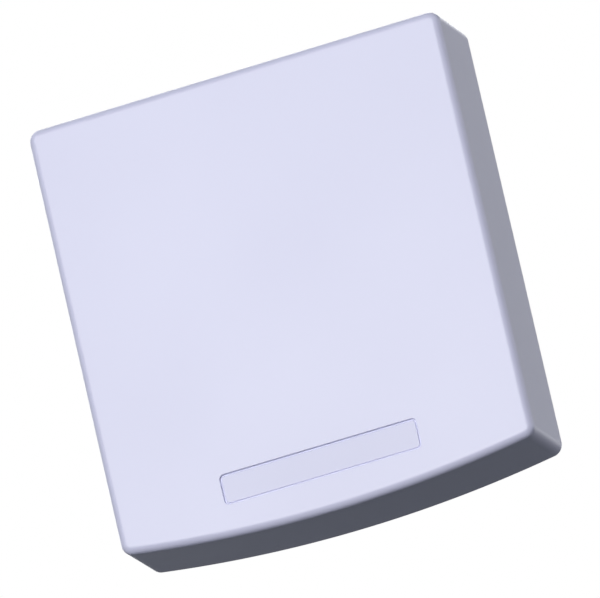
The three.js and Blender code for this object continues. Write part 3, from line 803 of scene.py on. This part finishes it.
def nut_profile(across, bore, height):
    """A hexagon nut's closed profile: bore, countersink, chamfered hexagon and back."""
    sink = 0.5 * MM
    top = hexagon_ends(across, height / 2, height)
    bottom = hexagon_ends(across, height / 2, 0)[:0:-1]
    hole = [(bore, height - sink), (bore, sink), (bore + sink, 0)]
    return [*hole, *bottom, *top, (bore + sink, height)]


pillar_flats = 6 * MM
for number, (x, z) in enumerate(patch_places, 1):
    pillar_inner = cone(flats(pillar_flats), 3 * MM)
    height = span(f"patch_post_{number}")
    foot = [(patch_hole, 0.3 * MM), (patch_hole + 0.3 * MM, 0), (2.7 * MM, 0), (pillar_inner, 0.25 * MM)]
    pillar = ring(f"patch_pillar_{number}", mirrored(foot, height))
    seat(pillar, x, z, stainless, f"patch_post_{number}")

# ---- Directors ----
# A smaller aluminium square before each driven patch, on a turned acetal spacer, with one acetal
# screw through both into the pillar behind.
acetal = speckled(
    "acetal", ((0.80, 0.79, 0.75), (0.86, 0.85, 0.81)), (0.42, 0.15), (120.0, 1800.0), 0.00002,
    Subsurface_Weight=0.1, Subsurface_Scale=0.002
)
director_half = 23 * MM
for number, (x, z) in enumerate(patch_places, 1):
    near, far = (corner.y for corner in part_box(f"director_{number}"))
    outline = rounded(director_half, director_half, 1 * MM, x, z)
    square = extruded(f"director_square_{number}", outline, "y", near, far)
    cut(square, [disc(x, z, patch_hole, 24)], "y", near - around, far + around)
    eased(square, tin_round, 1)
    dress(square, plate_aluminium, "panel", f"director_{number}")

    length = span(f"director_spacer_{number}")
    wide, waist, lip = 3.5 * MM, 3.0 * MM, 1.5 * MM
    foot = [(patch_hole, 0), (wide - 0.2 * MM, 0), (wide, 0.2 * MM), (wide, lip), (waist, lip + 0.4 * MM)]
    spacer = ring(f"director_bush_{number}", mirrored(foot, length), 32)
    seat(spacer, x, z, acetal, f"director_spacer_{number}")

    patch_head, head_height, patch_screw, patch_thread = 2.75 * MM, 2 * MM, 1.5 * MM, 0.5 * MM
    node = f"director_screw_{number}"
    shank = span(node) - head_height
    patch_core = core(patch_screw, patch_thread)
    pinned = threaded(
        f"director_pan_screw_{number}",
        [(patch_core - 0.3 * MM, -shank), (patch_core, -shank + 0.3 * MM)],
        (-shank + 0.3 * MM, -0.8 * MM, patch_screw, patch_thread),
        [
            (patch_core, -0.7 * MM), (patch_screw, 0), (patch_head - 0.15 * MM, 0),
            (patch_head, 0.15 * MM),
            *dome(patch_head, 0.6 * MM, head_height, 6, 0.6 * MM),
        ],
        24,
    )
    slot_half, slot_floor = 0.35 * MM, 1.0 * MM
    cut(pinned, [oblong(-wide, wide, slot_floor, 2 * head_height)], "x", -slot_half, slot_half)
    lay(pinned, (x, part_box(node)[0].y + head_height, z), (0, -1, 0), 0.5 * number)
    dress(pinned, acetal, "panel", node)

# ---- Jack ----
# A type N panel jack in nickelled brass: a hexagon flange on a rubber seal behind the plate, a coupling
# thread, a fluoropolymer insulator and a slit gold-plated contact. A thin nut holds it from inside.
nickel_brass = speckled(
    "nickel_brass", ((0.62, 0.60, 0.56), (0.74, 0.72, 0.67)),
    (0.2, 0.25), (300.0, 3000.0), 0.00002, 1.0
)
ptfe = speckled(
    "ptfe", ((0.84, 0.84, 0.83), (0.90, 0.90, 0.89)), (0.35, 0.12), (200.0, 2500.0), 0.00002,
    Subsurface_Weight=0.15, Subsurface_Scale=0.002
)
gold_plate = speckled(
    "gold_plate", ((0.86, 0.58, 0.20), (0.95, 0.68, 0.28)),
    (0.2, 0.2), (500.0, 3500.0), 0.00001, 1.0
)
jack_low, jack_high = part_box("connector_body")
seal_low, seal_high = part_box("connector_seal")
plate_back = panel_front + plate_far
flange_flats = 19 * MM
flange_start = seal_high.y - plate_back + fit_gap
flange_end = flange_start + 4 * MM
jack_mouth = jack_high.y - plate_back
jack_inside = jack_low.y - plate_back
coupling_radius = 7.95 * MM
coupling_pitch = 25.4 / 24 * MM
coupling_core = core(coupling_radius, coupling_pitch)
jack_bore = 4.2 * MM
mouth_sink = 0.5 * MM
collar = 1.2 * MM
jack_before = [
    (neck_radius - 0.3 * MM, jack_inside), (neck_radius, jack_inside + 0.3 * MM),
    (neck_radius, flange_start),
    (cone(flats(flange_flats), flange_flats / 2 * 1.12), flange_start),
    *hexagon_ends(flange_flats, flange_start + 0.4 * MM, flange_end),
    (coupling_core, flange_end), (coupling_core, flange_end + collar),
]
jack_after = [
    (coupling_core, jack_mouth - 0.7 * MM), (coupling_core - 0.5 * MM, jack_mouth),
    (jack_bore + mouth_sink, jack_mouth), (jack_bore, jack_mouth - mouth_sink),
    (jack_bore, jack_inside),
]
jack = threaded(
    "jack_body",
    jack_before,
    (flange_end + collar, jack_mouth - 0.7 * MM, coupling_radius, coupling_pitch),
    jack_after,
    72,
    closed=True,
)
seat(jack, jack_x, jack_z, nickel_brass, "connector_body", 0.0, -jack_inside)

back_nut_flats = 17 * MM
back_nut_profile = nut_profile(back_nut_flats, neck_radius + 0.1 * MM, span("connector_nut"))
back_nut = ring("jack_back_nut", back_nut_profile)
seat(back_nut, jack_x, jack_z, nickel_brass, "connector_nut")

seal_outer = (seal_high.x - seal_low.x) / 2
seal_round = 0.4 * MM
seal_half = [
    (neck_radius + fit_gap, 0), (seal_outer - seal_round, 0),
    (seal_outer - 0.1 * MM, 0.3 * seal_round), (seal_outer, seal_round),
]
seal = ring("jack_seal", mirrored(seal_half, span("connector_seal")))
seat(seal, jack_x, jack_z, gasket_rubber, "connector_seal")

bead_low, bead_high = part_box("connector_insulator")
bead_length = span("connector_insulator")
bead_radius = (bead_high.x - bead_low.x) / 2
pin_low, pin_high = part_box("connector_pin")
pin_radius = (pin_high.x - pin_low.x) / 2
bead_profile = [
    (pin_radius + 0.1 * MM, bead_length - 1.2 * MM), (pin_radius + 0.1 * MM, 0),
    (bead_radius - 0.2 * MM, 0), (bead_radius, 0.2 * MM), (bead_radius, bead_length - 0.2 * MM),
    (bead_radius - 0.2 * MM, bead_length), (pin_radius + 0.9 * MM, bead_length),
    (pin_radius + 0.6 * MM, bead_length - 1.2 * MM),
]
bead = ring("jack_insulator", bead_profile)
seat(bead, jack_x, jack_z, ptfe, "connector_insulator")

pin_length = span("connector_pin")
socket_radius = 0.85 * MM
socket_depth = 5 * MM
pin_profile = [
    (pin_radius - 0.2 * MM, 0), (pin_radius, 0.2 * MM), (pin_radius, pin_length - 0.3 * MM),
    (pin_radius - 0.3 * MM, pin_length), (socket_radius + 0.2 * MM, pin_length),
    (socket_radius, pin_length - 0.3 * MM), (socket_radius, pin_length - socket_depth),
]
pin = skin("jack_contact", turned(pin_profile, 32))
slit_half = 0.12 * MM
slit_outline = oblong(-wide, wide, pin_length - 0.8 * socket_depth, pin_length + around)
slits = [extruded("slit", slit_outline, "x", -slit_half, slit_half) for _ in range(2)]
slits[1].data.transform(Matrix.Rotation(QUARTER, 4, "Z"))
boolean(pin, slits, "DIFFERENCE")
seat(pin, jack_x, jack_z, gold_plate, "connector_pin", QUARTER / 2)

# ---- Vent plug ----
# A pressure-equalising plug in black nylon, screwed into the plate: a domed cap with slots round
# its edge, over a membrane that isn't seen.
black_nylon = speckled(
    "black_nylon", ((0.016, 0.016, 0.017), (0.026, 0.026, 0.028)),
    (0.5, 0.2), (150.0, 2200.0), 0.00004
)
vent_low, vent_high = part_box("vent_plug")
cap_radius = (vent_high.x - vent_low.x) / 2
cap_height = 2.5 * MM
neck_length = span("vent_plug") - cap_height
vent_pitch = 1.0 * MM
vent_core = core(vent_neck, vent_pitch)
vent = threaded(
    "vent_cap",
    [(vent_core - 0.3 * MM, -neck_length), (vent_core, -neck_length + 0.3 * MM)],
    (-neck_length + 0.3 * MM, -0.4 * MM, vent_neck, vent_pitch),
    [
        (vent_core, -0.3 * MM), (vent_neck, 0), (cap_radius - 0.2 * MM, 0),
        (cap_radius, 0.2 * MM), (cap_radius, 1.5 * MM),
        *dome(cap_radius, 1.5 * MM, cap_height, 6, 3.2 * MM)[1:],
        (2.2 * MM, cap_height), (1.9 * MM, cap_height - 0.4 * MM),
    ],
)
notches = []
for k in range(8):
    outline = oblong(cap_radius - 1 * MM, 2 * cap_radius, -0.45 * MM, 0.45 * MM)
    notch = extruded("notch", outline, "z", 0.5 * MM, 1.3 * MM)
    notch.data.transform(Matrix.Rotation(QUARTER / 2 * k, 4, "Z"))
    notches.append(notch)
boolean(vent, notches, "DIFFERENCE")
seat(vent, vent_x, vent_z, black_nylon, "vent_plug", 0.0, neck_length)

# ---- Studs and their nuts ----
# Four M6 stainless studs pressed into the back plate from inside, each with a chamfered nut that
# holds the bracket down.
stud_pitch = 1.0 * MM
stud_core = core(stud_radius, stud_pitch)
stud_head = 4.5 * MM
stud_head_height = 1.4 * MM
stud_nut_flats = 10 * MM
for number, (x, z) in enumerate(stud_places, 1):
    length = span(f"bracket_stud_{number}") - stud_head_height
    stud = threaded(
        f"clinch_stud_{number}",
        [
            (stud_head - 0.2 * MM, -stud_head_height), (stud_head, -stud_head_height + 0.2 * MM),
            (stud_head, 0), (stud_radius, 0), (stud_radius, 2.2 * MM), (stud_core, 2.8 * MM),
        ],
        (2.8 * MM, length - 0.7 * MM, stud_radius, stud_pitch),
        [(stud_core, length - 0.6 * MM), (stud_core - 0.5 * MM, length)],
        36,
    )
    seat(stud, x, z, stainless, f"bracket_stud_{number}", number, stud_head_height)

    profile = nut_profile(stud_nut_flats, stud_radius + 0.05 * MM, span(f"stud_nut_{number}"))
    nut = ring(f"bracket_nut_{number}", profile)
    seat(nut, x, z, stainless, f"stud_nut_{number}", 0.4 * number)


# ---- Panel bracket ----
# A folded channel of hot-dip galvanised steel on the four studs. Its ears carry the pivot bolt and,
# above it, the two lock bolts.
def channel(half, leg_end, sheet, bend, steps=10):
    """A channel's section: its web lies across, and its two legs run up to leg_end."""
    outer = bend + sheet
    x = half - outer
    inside = half - sheet
    return [
        (-half, leg_end),
        *arc(-x, outer, outer, 2 * QUARTER, 3 * QUARTER, steps),
        *arc(x, outer, outer, 3 * QUARTER, 4 * QUARTER, steps),
        (half, leg_end), (inside, leg_end),
        *arc(x, outer, bend, 4 * QUARTER, 3 * QUARTER, steps),
        *arc(-x, outer, bend, 3 * QUARTER, 2 * QUARTER, steps),
        (-inside, leg_end),
    ]


def hull(points):
    return [points[i] for i in convex_hull_2d(points)]


galvanised_steel, zinc, shader = finish("galvanised_steel", (0.55, 0.57, 0.59), 0.42, 0.85)
place = zinc.node("TexCoord", output="Object")
wander = zinc.node("TexNoise", None, {"Vector": place, "Scale": 400.0, "Detail": 2.0}, 1)
bent = zinc.node("VectorMath", {"operation": "MULTIPLY"}, {0: wander, 1: (0.0015,) * 3}, 0)
strayed = zinc.node("VectorMath", {"operation": "ADD"}, {0: place, 1: bent}, 0)
crystal = zinc.node("TexVoronoi", None, {"Vector": strayed, "Scale": 330.0}, 1)
spangle = zinc.node("SeparateXYZ", None, {0: crystal}, 0)
drift = zinc.node("TexNoise", None, {"Vector": place, "Scale": 35.0, "Detail": 5.0})
frost = zinc.node("TexNoise", None, {"Vector": place, "Scale": 1500.0, "Detail": 3.0})
tones = [(0.2, (0.50, 0.52, 0.54)), (0.8, (0.66, 0.68, 0.70))]
mottle = 0.4 * spangle + 0.45 * drift + 0.15 * frost
roughness = 0.36 + 0.10 * spangle + 0.2 * drift
coat(zinc, shader, tones, mottle, roughness, (0.3, 0.00005, 0.5 * frost + 0.5 * drift))

sheet = 3 * MM
bend = 2 * MM
bracket_edge = 0.4 * MM
base_low, base_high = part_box("panel_bracket")
pivot_y, pivot_z = middle("pivot_bolt").yz
lock_z = middle("lock_bolt_right").z
bolt_hole = 4.3 * MM
pivot_rim = 10 * MM
lock_rim = 8.3 * MM
base_flange = 6 * MM
inner_half = base_high.x
leg = base_high.y - base_low.y + 1 * MM
folded = [(x, base_low.y + y) for x, y in channel(inner_half, leg, sheet, bend)]
panel_bracket = extruded("panel_bracket_channel", folded, "z", base_low.z, base_high.z)
ear = hull(
    disc(pivot_y, pivot_z, pivot_rim)
    + disc(pivot_y, lock_z, lock_rim)
    + [(base_low.y + y, z) for y in (-around, base_flange) for z in (base_low.z, base_high.z)]
)
beyond = inner_half + around
boolean(panel_bracket, [extruded("ear", ear, "x", -beyond, beyond)], "INTERSECT")
cut(panel_bracket, [disc(pivot_y, z, bolt_hole, 48) for z in (pivot_z, lock_z)], "x", -beyond, beyond)
stud_holes = [disc(x, z, stud_radius + fit_gap, 40) for x, z in stud_places]
cut(panel_bracket, stud_holes, "y", base_low.y - around, base_low.y + sheet + around / 2)
eased(panel_bracket, bracket_edge)
dress(panel_bracket, galvanised_steel, "panel", "panel_bracket")

# ---- Mast bracket ----
# The other folded channel, on the mast side: ears with the pivot hole and a curved slot for the lock
# bolts, and a saddle whose lips are cut to a toothed V that bites the mast.
mast_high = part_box("mast_bracket")[1]
outer_half = mast_high.x
mast_half = mast_high.z
mast_radius = 20 * MM
v_angle = math.radians(60)
v_half = 18 * MM
saddle_back = 6 * MM
tooth_depth = 1 * MM
tooth_count = 4
v_vertex = mast_radius / math.sin(v_angle)
web_back = v_vertex + saddle_back
web_front = web_back + sheet
lips_end = v_vertex - v_half / math.tan(v_angle)
clamp_x, clamp_z = middle("clamp_bolt_right").xz
saddle_half = clamp_x - 5.5 * MM
lock_rise = lock_z - pivot_z
slot_turn = math.radians(26.5)


def toothed_v():
    """The cut for the mast in x and y, with steps on both sides, opening towards the mast."""
    side_x, side_y = math.sin(v_angle), math.cos(v_angle)
    length = v_half / side_x
    right = []
    for k in range(tooth_count):
        valley = (k + 0.5) / tooth_count * length
        tip = (k + 1) / tooth_count * length
        right.append((valley * side_x + tooth_depth * side_y, valley * side_y - tooth_depth * side_x))
        right.append((tip * side_x, tip * side_y))
    right.append((v_half, v_half / math.tan(v_angle) + around))
    left = [(-x, y) for x, y in reversed(right)]
    return [(x, y - v_vertex) for x, y in [*left, (0.0, 0.0), *right]]


def saddle(half, name):
    """A channel across the mast, its lips cut to the toothed V."""
    section = [(v - web_front, u) for u, v in channel(half, web_front - lips_end, sheet, bend)]
    made = extruded(name, section, "x", -saddle_half, saddle_half)
    cut(made, [toothed_v()], "z", -half - around, half + around)
    return made


def slot_place(turn):
    return pivot_y + lock_rise * math.cos(turn), pivot_z + lock_rise * math.sin(turn)


slot_start, slot_end = QUARTER - slot_turn, QUARTER + slot_turn
ear = hull(
    [p for turn in (slot_start, QUARTER, slot_end) for p in disc(*slot_place(turn), lock_rim)]
    + disc(pivot_y, pivot_z, pivot_rim)
    + [(y, z) for y in (-web_front - 2 * MM, -web_back) for z in (-mast_half, mast_half)]
)
ear_tip = min(y for y, _ in ear) - 1 * MM
folded = [(-x, -web_back - y) for x, y in channel(outer_half, -ear_tip - web_back, sheet, bend)]
mast_bracket = extruded("mast_bracket_channel", folded, "z", -mast_half, mast_half)
beyond = outer_half + around
boolean(mast_bracket, [extruded("ear", ear, "x", -beyond, beyond)], "INTERSECT")
slot_outline = [
    *arc(pivot_y, pivot_z, lock_rise + bolt_hole, slot_start, slot_end, 24),
    *arc(*slot_place(slot_end), bolt_hole, slot_end, slot_end + 2 * QUARTER, 16)[1:-1],
    *arc(pivot_y, pivot_z, lock_rise - bolt_hole, slot_end, slot_start, 24),
    *arc(*slot_place(slot_start), bolt_hole, slot_start - 2 * QUARTER, slot_start, 16)[1:-1],
]
cut(mast_bracket, [slot_outline, disc(pivot_y, pivot_z, bolt_hole, 48)], "x", -beyond, beyond)
boolean(mast_bracket, [saddle(mast_half, "saddle")], "UNION")


def drill_for_clamp(piece):
    holes = [disc(x, clamp_z, bolt_hole, 48) for x in (-clamp_x, clamp_x)]
    cut(piece, holes, "y", -web_front - around / 2, -web_back + around / 2)


drill_for_clamp(mast_bracket)
eased(mast_bracket, bracket_edge)
dress(mast_bracket, galvanised_steel, "mast_clamp", "mast_bracket")

# ---- Clamp jaw ----
# A flat galvanised plate with rounded corners and a second saddle welded to it, which slides on the
# two long bolts and closes on the mast from behind.
jaw_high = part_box("clamp_jaw")[1]
jaw_half = jaw_high.z
jaw = extruded("jaw_plate", rounded(jaw_high.x, jaw_half, 8 * MM, steps=16), "y", -web_front, -web_back)
boolean(jaw, [saddle(jaw_half, "saddle")], "UNION")
drill_for_clamp(jaw)
jaw.data.transform(Matrix.Rotation(2 * QUARTER, 4, "Z"))
eased(jaw, bracket_edge)
dress(jaw, galvanised_steel, "jaw", "clamp_jaw")

# ---- Bolts, washers and nuts ----
# M8 stainless hexagon bolts with chamfered heads and rolled threads: one long pivot bolt, two lock
# bolts in the slots with flange nuts, and two clamp bolts that the jaw slides on.
bolt_radius = 4 * MM
bolt_pitch = 1.25 * MM
bolt_core = core(bolt_radius, bolt_pitch)
bolt_flats = 13 * MM
bolt_head = 5.3 * MM
end_chamfer = 1.0 * MM


def bolt(name, length, plain):
    """A hexagon bolt: the head's bearing face at 0, a plain shank, then thread to the chamfered end."""
    face = 0.3 * MM
    fillet = 0.3 * MM
    slack = 0.03 * MM
    top = [(0.2 * MM, -bolt_head + 0.15 * MM), (0.3 * bolt_flats, -bolt_head + 0.15 * MM)]
    head = top + hexagon_ends(bolt_flats, -face, -bolt_head)[::-1]
    shank = [
        (0.46 * bolt_flats, -face), (0.46 * bolt_flats, 0), (bolt_radius + fillet - slack, 0),
        (bolt_radius - slack, fillet), (bolt_radius - slack, plain), (bolt_core, plain + 1 * MM),
    ]
    return threaded(
        name,
        head + shank,
        (plain + 1 * MM, length - end_chamfer, bolt_radius - slack, bolt_pitch),
        [(bolt_core, length - end_chamfer + 0.1 * MM), (bolt_core - 0.5 * MM, length)],
    )


def washer(name, height):
    edge = 0.3 * MM
    rim = 8 * MM
    half = [(bolt_radius + 0.25 * MM, 0), (rim - edge, 0), (rim - 0.3 * edge, 0.25 * edge), (rim, edge)]
    return ring(name, mirrored(half, height), 64)


def plain_nut(name, height):
    return ring(name, nut_profile(bolt_flats, bolt_radius + 0.05 * MM, height))


def flange_nut(name, height):
    bore = bolt_radius + 0.05 * MM
    sink = 0.5 * MM
    rim = 8.5 * MM
    shape = flats(bolt_flats)
    profile = [
        (bore, height - sink), (bore, sink), (bore + sink, 0), (rim - 0.3 * MM, 0),
        (rim, 0.3 * MM), (rim, 0.9 * MM), (rim - 0.3 * MM, 1.2 * MM),
        (lambda t: max(shape(t), 0.55 * bolt_flats), 1.7 * MM),
        *hexagon_ends(bolt_flats, 1.9 * MM, height),
        (bore + sink, height),
    ]
    return ring(name, profile, 60)


def width(node):
    low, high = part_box(node)
    return high.x - low.x


def across(piece, way, z, body, node, spin=0.0, rise=0.0):
    """Lays a fastener along X, outwards to one side, from its node's near end, and dresses it."""
    low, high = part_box(node)
    start = high.x if way < 0 else low.x
    lay(piece, (start + way * rise, pivot_y, z), (way, 0, 0), spin)
    dress(piece, stainless, body, node)


clamp_length = span("clamp_bolt_right") - bolt_head
for side, way in (("left", -1), ("right", 1)):
    clamp_bolt = bolt(f"clamp_bolt_m8_{side}", clamp_length, plain=18 * MM)
    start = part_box(f"clamp_bolt_{side}")[0].y + bolt_head
    lay(clamp_bolt, (way * clamp_x, start, clamp_z), (0, 1, 0), 0.3 * way)
    dress(clamp_bolt, stainless, "mast_clamp", f"clamp_bolt_{side}")
    for kind, build in (("washer", washer), ("nut", plain_nut)):
        node = f"clamp_{kind}_{side}"
        made = build(f"clamp_{kind}_m8_{side}", span(node))
        lay(made, (way * clamp_x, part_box(node)[0].y, clamp_z), (0, 1, 0), 0.2 + 0.5 * way)
        dress(made, stainless, "jaw", node)

    lock_bolt = bolt(f"lock_bolt_m8_{side}", width(f"lock_bolt_{side}") - bolt_head, plain=3.5 * MM)
    across(lock_bolt, way, lock_z, "panel", f"lock_bolt_{side}", 0.4 * way, bolt_head)
    lock_nut = flange_nut(f"lock_nut_m8_{side}", width(f"lock_nut_{side}"))
    across(lock_nut, way, lock_z, "panel", f"lock_nut_{side}", 0.25)
    pivot_washer = washer(f"pivot_washer_m8_{side}", width(f"pivot_washer_{side}"))
    across(pivot_washer, way, pivot_z, "mast_clamp", f"pivot_washer_{side}")

pivot_bolt = bolt("pivot_bolt_m8", width("pivot_bolt") - bolt_head, plain=84 * MM)
across(pivot_bolt, 1, pivot_z, "mast_clamp", "pivot_bolt", 0.15, bolt_head)
pivot_nut = plain_nut("pivot_nut_m8", width("pivot_nut"))
across(pivot_nut, 1, pivot_z, "mast_clamp", "pivot_nut", 0.35)
